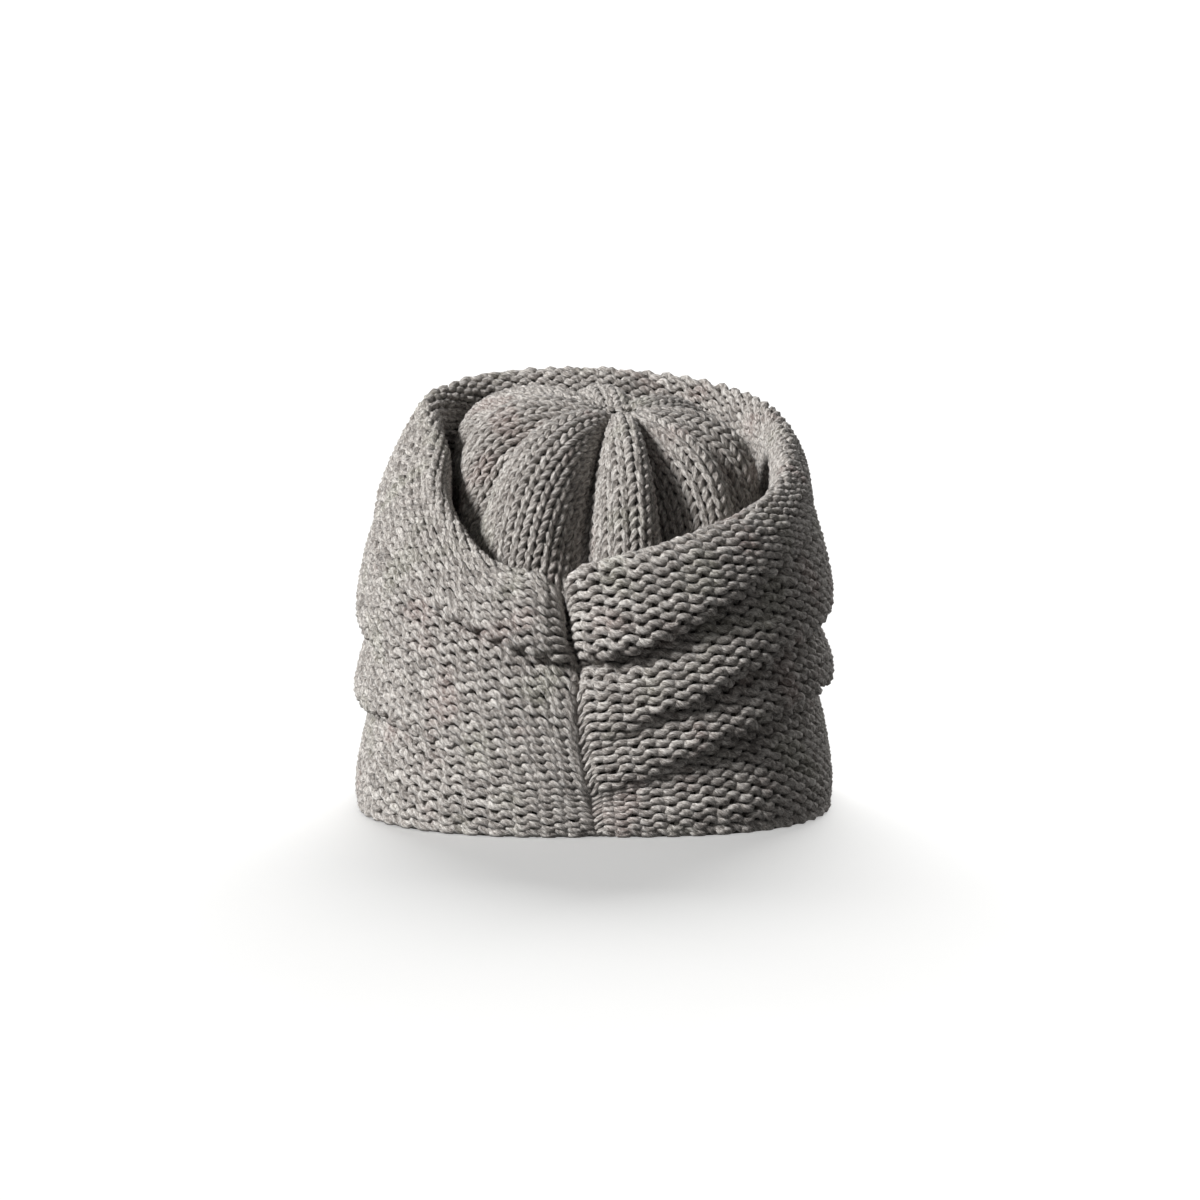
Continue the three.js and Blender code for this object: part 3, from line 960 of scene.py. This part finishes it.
@dataclass(frozen=True)
class GapShadeSheet:
    """Sheet set in behind the middle of the knit, with its faces across and up, that closes the
    gaps between loops and shows their painted shade.
    """

    name: str
    columns: int
    rows: int
    inset: float = 0.9
    thickness: float = 0.6

    def roll(self, grid: FabricGrid) -> Object:
        """Roll a flat panel onto the fabric, join it along its edges and thicken it.

        Args:
            grid: The fabric.

        Returns:
            The sheet's object.
        """
        bpy.ops.object.select_all(action="DESELECT")
        faces = {"x_subdivisions": self.columns, "y_subdivisions": self.rows}
        bpy.ops.mesh.primitive_grid_add(size=1.0, **faces)
        sheet = bpy.context.active_object
        sheet.name = self.name
        sheet.data.name = self.name
        flat = np.empty(3 * len(sheet.data.vertices), np.float32)
        sheet.data.vertices.foreach_get("co", flat)
        across, up = (flat.reshape(-1, 3)[:, :2] + 0.5).T
        wale = grid.first_wale + across * (grid.last_wale - grid.first_wale)
        points, outward, _ = grid.lookup(wale, up * grid.last_course)
        rolled = (points - self.inset * outward) * MM
        sheet.data.vertices.foreach_set("co", rolled.astype(np.float32).ravel())
        bpy.ops.object.mode_set(mode="EDIT")
        bpy.ops.mesh.select_all(action="SELECT")
        bpy.ops.mesh.remove_doubles(threshold=WELD_MM * MM)
        bpy.ops.mesh.normals_make_consistent(inside=False)
        bpy.ops.object.mode_set(mode="OBJECT")
        wall = sheet.modifiers.new("thickness", "SOLIDIFY")
        wall.thickness = self.thickness * MM
        wall.offset = 0.0
        bpy.ops.object.modifier_apply(modifier=wall.name)
        bpy.ops.object.shade_smooth()
        return sheet


@dataclass
class KnittedBody:
    """The scrunched tube of reverse stocking stitch, from the hem over the rim into the well.

    Below the collar, courses lie by the folds and by the length of the fabric, mixed by ring_share:
    fold_courses is the share of them below each tuck, and fabric that runs inward counts for
    hidden_share of its length. Beside the seam they dip by seam_dip courses.
    """

    form: ScrunchForm
    wales: int = 64
    wale_mm: float = 9.3
    courses: int = 53
    first_course: float = 1.0
    fold_courses: tuple[tuple[str, float], ...] = (
        ("hem", 0.0), ("tuck_1", 0.38), ("tuck_2", 0.64), ("tuck_3", 1.0)
    )
    ring_share: float = 0.45
    hidden_share: float = 0.2
    seam_dip: float = 1.4
    seam_dip_width: float = 5.0
    seam_dip_mm: float = 18.0
    columns: int = 512
    spans: int = 16
    rows_a_course: int = 6
    stitch: Stitch = Stitch(
        Face.PURL, 0.17, 0.76, relief=1.15, radius=1.52, course_mm=3.4, tilt=0.12, end_sink=1.1
    )
    bands: tuple[tuple[str, int, int], ...] = (
        ("hem_courses", 0, 13),
        ("fold_courses", 13, 26),
        ("collar_courses", 26, 39),
        ("lip_courses", 39, 53),
    )
    edge_turns: int = 54
    edge_samples: int = 12
    edge_radius: float = 1.35
    edge_round: float = 1.0
    edge_height: float = 2.5
    core: GapShadeSheet = GapShadeSheet("body_core", columns=128, rows=78)
    flat_length: float = 175.0
    seed: int = 11

    def grid(self) -> FabricGrid:
        """Lay the courses up each section, by the folds they follow and by length of fabric.

        Returns:
            The fabric, from the hem to the floor of the well.
        """
        azimuth = np.linspace(0, 360, self.columns + 1)
        line = threaded(self.form.middle(azimuth), self.spans)
        place = {ring.name: k * self.spans for k, ring in enumerate(RINGS)}
        inward, rise, _ = np.moveaxis(np.diff(line, axis=1), 2, 0)
        counted = np.ones(inward.shape[1])
        counted[: place["collar_low"]] = self.hidden_share
        step = np.hypot(inward * counted, rise)
        length = np.concatenate([np.zeros((self.columns + 1, 1)), np.cumsum(step, axis=1)], 1)
        edges = ("tuck_3", "rim")
        tuck, rim = (length[:, [place[name]]] for name in edges)
        low, high = (self.form.around(f"{name}_courses", azimuth)[:, None] for name in edges)
        marks = [place[name] for name, _ in self.fold_courses]
        shares = [share for _, share in self.fold_courses]
        by_fold = np.array([np.interp(gone, gone[marks], shares) for gone in length])
        below = low * (self.ring_share * by_fold + (1 - self.ring_share) * length / tuck)
        above_hem = np.clip(length / self.seam_dip_mm, 0, 1)
        below_tuck = np.clip((tuck - length) / self.seam_dip_mm, 0, 1)
        away = np.abs(self.form.from_seam(azimuth))[:, None]
        below += self.seam_dip * np.exp(-away / self.seam_dip_width) * (above_hem * below_tuck)
        collar = low + (high - low) * (length - tuck) / (rim - tuck)
        inside = high + (self.courses - high) * (length - rim) / (length[:, -1:] - rim)
        course = np.where(length < tuck, below, np.where(length < rim, collar, inside))
        rows = np.linspace(0, self.courses, self.courses * self.rows_a_course + 1)
        laid = [resampled(rows, up, section) for up, section in zip(course, line)]
        reach, height, bearing = np.moveaxis(np.array(laid), 2, 0)
        a = np.radians(bearing)
        points = np.stack([reach * np.sin(a), -reach * np.cos(a), height], -1)
        return FabricGrid(points, 0, self.wales, self.courses, True)

    def cast_on(self, grid: FabricGrid) -> list[Strand]:
        """Twist two strands into the rope of the cast-on edge.

        Args:
            grid: The fabric.

        Returns:
            The two strands.
        """
        t = np.linspace(0, 2 * np.pi * self.edge_turns, self.edge_turns * self.edge_samples + 1)
        wale = self.wales * t / t[-1]
        pitch = grid.lookup(wale, 0 * wale)[2]
        strands = []
        for start in (0.0, np.pi):
            height = self.edge_height + self.edge_round * np.cos(t + start)
            points, outward, _ = grid.lookup(wale, height / pitch)
            points = points + outward * (self.edge_round * np.sin(t + start))[:, None]
            strands.append(Strand(points, outward, np.full(len(t), self.edge_radius)))
        return strands

    def build(self, yarn: Material, fibre: Material) -> FabricGrid:
        """Make the core sheet and the courses of yarn.

        Args:
            yarn: Finish of the yarn.
            fibre: Finish of the core, painted dark with the shade in the gaps.

        Returns:
            The fabric that the courses lie on.
        """
        rng = np.random.default_rng(self.seed)
        grid = self.grid()
        pieces = []
        for name, first, last in self.bands:
            piece = YarnPiece(name)
            for row in range(first, last):
                level = row + self.first_course
                piece.strands.append(self.stitch.course(grid, 0.0, self.wales, level, rng))
            if first == 0:
                # The lowest course stays off the table, and the cast-on edge closes it
                edge = piece.strands[0]
                edge.line[:, 2] = np.maximum(edge.line[:, 2], edge.radius)
                piece.strands += self.cast_on(grid)
            pieces.append(piece.build())
            dress(pieces[-1], yarn)
        core = self.core.roll(grid)
        dress(core, fibre)
        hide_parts("body")
        return grid


@dataclass
class GatheredCrown:
    """The dome of stocking stitch, gathered into lobes at its pinched middle.

    pleat_gap is in degrees. The core stands foot_mm out at its base, so that no light comes up round
    it. narrowed, the share of the flat rectangle that is left as the fabric narrows, is not used.
    """

    form: ScrunchForm
    wale_mm: float = 6.0
    course_mm: float = 4.4
    pleat_gap: float = 0.01
    middle_gap: float = 5.0
    last_along: float = 0.02
    lobe_columns: int = 121
    lobe_rows: int = 161
    rows_a_course: int = 4
    columns_a_wale: int = 16
    stitch: Stitch = Stitch(
        Face.KNIT, 0.23, 0.85, relief=1.2, radius=1.32, course_mm=4.4, samples=12
    )
    foot_mm: float = 3.1
    core: GapShadeSheet = GapShadeSheet("crown_core", columns=256, rows=33)
    flat_width: float = 430.0
    flat_length: float = 97.0
    narrowed: float = 0.73
    seed: int = 23

    def lobe_grid(self, lobe: Lobe) -> tuple[FabricGrid, Array]:
        """Lay the wales of one lobe side by side, level with its ridge.

        Args:
            lobe: The lobe.

        Returns:
            The lobe's fabric, and its wales to the left and right of the ridge at each course.
        """
        ends = (lobe.first + self.pleat_gap, lobe.last - self.pleat_gap)
        across = np.linspace(*ends, self.lobe_columns)
        along = np.linspace(1, self.last_along, self.lobe_rows)
        points = self.form.crown_point(*np.meshgrid(across, along, indexing="ij"))
        middle = int(np.argmax(np.cos(np.pi / 2 * self.form.lobe_values(across)["across"])))
        course = lengths(points[middle]) / self.course_mm
        last = math.floor(course[-1] - self.middle_gap / self.course_mm)
        rows = np.linspace(0, last, last * self.rows_a_course + 1)
        even = np.array([resampled(rows, course, column) for column in points])
        width = lengths(even)
        offset = (width - width[middle]) / self.wale_mm
        reach = math.ceil(np.abs(offset).max())
        wales = np.linspace(-reach, reach, reach * self.columns_a_wale + 1)
        laid = [resampled(wales, offset[:, j], even[:, j]) for j in range(len(rows))]
        edges = np.stack([-offset[0], offset[-1]], 1)[:: self.rows_a_course]
        sides = np.maximum(np.ceil(edges), 1).astype(int)
        return FabricGrid(np.stack(laid, 1), -reach, reach, last, False), sides

    def build(self, yarn: Material, fibre: Material) -> None:
        """Make the core sheet and the courses of yarn.

        Args:
            yarn: Finish of the yarn.
            fibre: Finish of the core, painted dark with the shade in the gaps.
        """
        rng = np.random.default_rng(self.seed)
        piece = YarnPiece("crown_courses")
        for lobe in LOBES:
            grid, sides = self.lobe_grid(lobe)
            LOG.info("%s lobe: %d courses", lobe.name, len(sides) - 1)
            for row, (left, right) in enumerate(sides[1:], 1):
                piece.strands.append(self.stitch.course(grid, -left, left + right, row, rng))
        courses = piece.build()
        dress(courses, yarn)
        across = np.linspace(LOBES[0].first, LOBES[0].first + 360, self.core.columns + 1)
        along = np.linspace(1, 0, self.core.rows)
        points = self.form.crown_point(*np.meshgrid(across, along, indexing="ij"))
        a = np.radians(across)
        foot = points[:, :1] + self.foot_mm * np.stack([np.sin(a), -np.cos(a), 0 * a], -1)[:, None]
        grid = FabricGrid(np.concatenate([foot, points], 1), 0, 1, 1, False)
        core = self.core.roll(grid)
        dress(core, fibre)
        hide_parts("crown")


@dataclass
class BackSeam:
    """Whipped edge stitches that close the tube up the back.

    side and half_width place them across, in wales, and slant leans them, in courses. The other
    sizes are in millimetres: low and high are the heights between which they show.
    """

    side: float = 0.12
    half_width: float = 0.26
    slant: float = 0.35
    lift: float = 0.5
    round_mm: float = 0.9
    radius: float = 1.0
    stitch_mm: float = 3.0
    low: float = 2.0
    high: float = 57.0
    samples: int = 12
    trace_steps: int = 600

    def build(self, grid: FabricGrid, yarn: Material) -> None:
        """Wind the sewing yarn up the seam.

        Args:
            grid: The body's fabric.
            yarn: Finish of the yarn.
        """
        up = np.linspace(0, grid.last_course, self.trace_steps)
        line = grid.lookup(0 * up + self.side, up)[0]
        seen = up[(line[:, 2] > self.low) & (np.maximum.accumulate(line[:, 2]) < self.high)]
        pitch = grid.lookup(0 * seen + self.side, seen)[2]
        turns = int(pitch.mean() * (seen[-1] - seen[0]) / self.stitch_mm)
        t = np.linspace(0, 2 * np.pi * turns, turns * self.samples + 1)
        wale = self.side - self.half_width * np.cos(t)
        course = np.interp(t, (0, t[-1]), (seen[0], seen[-1])) - self.slant * np.cos(t)
        points, outward, _ = grid.lookup(wale, course)
        points = points + outward * (self.lift + self.round_mm * np.sin(t))[:, None]
        piece = YarnPiece("seam_stitches")
        piece.strands.append(Strand(points, outward, np.full(len(t), self.radius)))
        seam = piece.build()
        dress(seam, yarn)
        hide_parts("back_seam")


@dataclass(frozen=True)
class Lamp:
    """A distant lamp: where it hangs (m), its strength, and how wide it looks (degrees).

    A lamp for the paper lights nothing else, and flags keep every other lamp off the paper.
    """

    name: str
    place: tuple[float, float, float]
    strength: float
    spread: float
    for_paper: bool = False


@dataclass
class Studio:
    """Camera at the photograph's angle, light from the upper left, and a pale sweep (m, degrees)."""

    image_px: float = 1200.0
    focal_px: float = 5129.0
    sensor_mm: float = 36.0
    aim: tuple[float, float, float] = (0.0023, 0.0, 0.078)
    distance: float = 2.0
    elevation: float = 7.0
    floor_half: float = 80.0
    lamps: tuple[Lamp, ...] = (
        Lamp("key_light", (-1.55, -1.0, 1.24), 5.4, 14.0),
        Lamp("far_light", (0.95, 1.6, 0.5), 1.6, 40.0),
        Lamp("paper_light", (0.0, 1.8, 0.6), 4.5, 50.0, for_paper=True),
    )
    sky: float = 0.17

    def camera(self) -> None:
        """Set the camera."""
        data = bpy.data.cameras.new("camera")
        data.sensor_width = self.sensor_mm
        data.lens = self.sensor_mm * self.focal_px / self.image_px
        tilt = math.radians(self.elevation)
        camera = bpy.data.objects.new("camera", data)
        back = Vector((0.0, -math.cos(tilt), math.sin(tilt)))
        camera.location = Vector(self.aim) + back * self.distance
        camera.rotation_euler = back.to_track_quat("Z", "Y").to_euler()
        bpy.context.scene.collection.objects.link(camera)
        bpy.context.scene.camera = camera

    def hang(self, lamp: Lamp, floor: Object) -> None:
        """Hang one lamp, turned to the hat.

        Args:
            lamp: The lamp.
            floor: The paper, which the lamp either lights alone or is flagged from.
        """
        data = bpy.data.lights.new(lamp.name, "SUN")
        data.energy = lamp.strength
        data.angle = math.radians(lamp.spread)
        piece = bpy.data.objects.new(lamp.name, data)
        piece.location = lamp.place
        piece.rotation_euler = Vector(lamp.place).to_track_quat("Z", "Y").to_euler()
        bpy.context.scene.collection.objects.link(piece)
        lit = bpy.data.collections.new(f"{lamp.name}_paper")
        lit.objects.link(floor)
        state = "INCLUDE" if lamp.for_paper else "EXCLUDE"
        lit.collection_objects[0].light_linking.link_state = state
        piece.light_linking.receiver_collection = lit

    def build(self) -> None:
        """Set the camera, the lights and the paper."""
        self.camera()
        bpy.ops.object.select_all(action="DESELECT")
        bpy.ops.mesh.primitive_plane_add(size=2 * self.floor_half)
        floor = bpy.context.active_object
        floor.name = "paper_floor"
        floor.data.materials.append(PaperSweep().material())
        floor.visible_diffuse = False
        for lamp in self.lamps:
            self.hang(lamp, floor)
        world = bpy.data.worlds.new("studio")
        bpy.context.scene.world = world
        world.use_nodes = True
        tree = world.node_tree
        feed(tree, tree.nodes["Background"], {"Color": linear("#ffffff"), "Strength": self.sky})
        bpy.context.scene.view_settings.view_transform = "Standard"


def main() -> None:
    """Build the hat piece by piece."""
    logging.basicConfig(level=logging.INFO, format="%(name)s %(message)s")
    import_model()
    Studio().build()
    yarn = HeatherYarn("heather_yarn_three_ply").material()
    fibre = GapShadeFibre("fibre_with_painted_gap_shade").material()
    form = ScrunchForm()
    grid = KnittedBody(form).build(yarn, fibre)
    GatheredCrown(form).build(yarn, fibre)
    BackSeam().build(grid, yarn)


if __name__ == "__main__":
    main()
